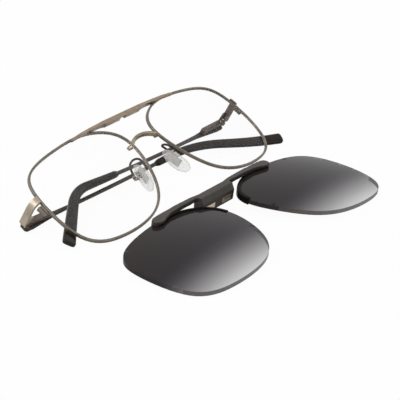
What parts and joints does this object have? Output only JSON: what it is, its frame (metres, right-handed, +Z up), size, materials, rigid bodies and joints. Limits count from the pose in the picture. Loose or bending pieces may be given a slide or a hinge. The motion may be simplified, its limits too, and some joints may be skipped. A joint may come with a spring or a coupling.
{
  "type": "clip-on eyeglasses",
  "caption": "Metal aviator eyeglasses folded face up, with a separate magnetic gradient sun clip lying beside them.",
  "frame": {"origin": "middle of the bounding box of frame and clip together, at table level", "axes": "+X from the wearer's right to the wearer's left along the brow bar, +Y toward the brow side of the frame, +Z up from the table"},
  "size_m": [0.141, 0.093, 0.0257],
  "materials": {
    "rim_metal": "antique grey-bronze, satin",
    "clear_lens": "clear, polished",
    "brow_metal": "champagne bronze, satin",
    "magnet": "plated magnet, satin",
    "screw_steel": "bright steel",
    "arm_metal": "dark, satin",
    "silicone": "translucent silicone",
    "insert_plastic": "grey stiffener",
    "temple_metal": "dark brown-grey, satin",
    "tip_acetate": "black-brown, glossy",
    "hinge_steel": "steel",
    "clip_metal": "matte charcoal",
    "clip_magnet": "gold-plated magnet",
    "clip_strip": "black",
    "sun_lens": "grey gradient, polished"
  },
  "bodies": {
    "front": {"rim_right": "rim_metal", "rim_left": "rim_metal", "lens_right": "clear_lens", "lens_left": "clear_lens", "brow_bar": "brow_metal", "bridge": "brow_metal", "brow_magnet_right": "magnet", "brow_magnet_left": "magnet", "end_piece_right": "brow_metal", "end_piece_left": "brow_metal", "rim_screws": "screw_steel", "hinge_screws": "screw_steel", "pad_arm_right": "arm_metal", "pad_arm_left": "arm_metal", "pad_box_right": "screw_steel", "pad_box_left": "screw_steel", "pad_screws": "screw_steel"},
    "pad_right": {"nose_pad_right": "silicone", "pad_insert_right": "insert_plastic"},
    "temple_right": {"temple_bar_right": "temple_metal", "temple_tip_right": "tip_acetate", "hinge_housing_right": "temple_metal", "hinge_tongue_right": "hinge_steel", "hinge_spring_right": "hinge_steel"},
    "pad_left": {"nose_pad_left": "silicone", "pad_insert_left": "insert_plastic"},
    "temple_left": {"temple_bar_left": "temple_metal", "temple_tip_left": "tip_acetate", "hinge_housing_left": "temple_metal", "hinge_tongue_left": "hinge_steel", "hinge_spring_left": "hinge_steel"},
    "clip": {"clip_bar": "clip_metal", "clip_magnet_right": "clip_magnet", "clip_magnet_left": "clip_magnet", "clip_strip_right": "clip_strip", "clip_strip_left": "clip_strip", "clip_lens_right": "sun_lens", "clip_lens_left": "sun_lens"}
  },
  "joints": [
    {"name": "temple_hinge_right", "type": "hinge", "parent": "front", "child": "temple_right", "pos_m": [-0.06382, 0.03994, 0.00337], "axis": [0, 0.8625, 0.506], "range_deg": [0, 95]},
    {"name": "temple_hinge_left", "type": "hinge", "parent": "front", "child": "temple_left", "pos_m": [0.06578, 0.03994, 0.00337], "axis": [0, -0.8625, -0.506], "range_deg": [0, 95]},
    {"name": "pad_rock_right", "type": "hinge", "parent": "front", "child": "pad_right", "pos_m": [-0.01155, 0.02803, 0.0075], "axis": [0.1687, 0.4629, -0.8702], "range_deg": [-8, 8]},
    {"name": "pad_rock_left", "type": "hinge", "parent": "front", "child": "pad_left", "pos_m": [0.01351, 0.02803, 0.0075], "axis": [0.1687, -0.4629, 0.8702], "range_deg": [-8, 8]},
    {"name": "clip_lift", "type": "slide", "parent": "front", "child": "clip", "axis": [0, 0, 1], "range_m": [0, 0.08]}
  ]
}
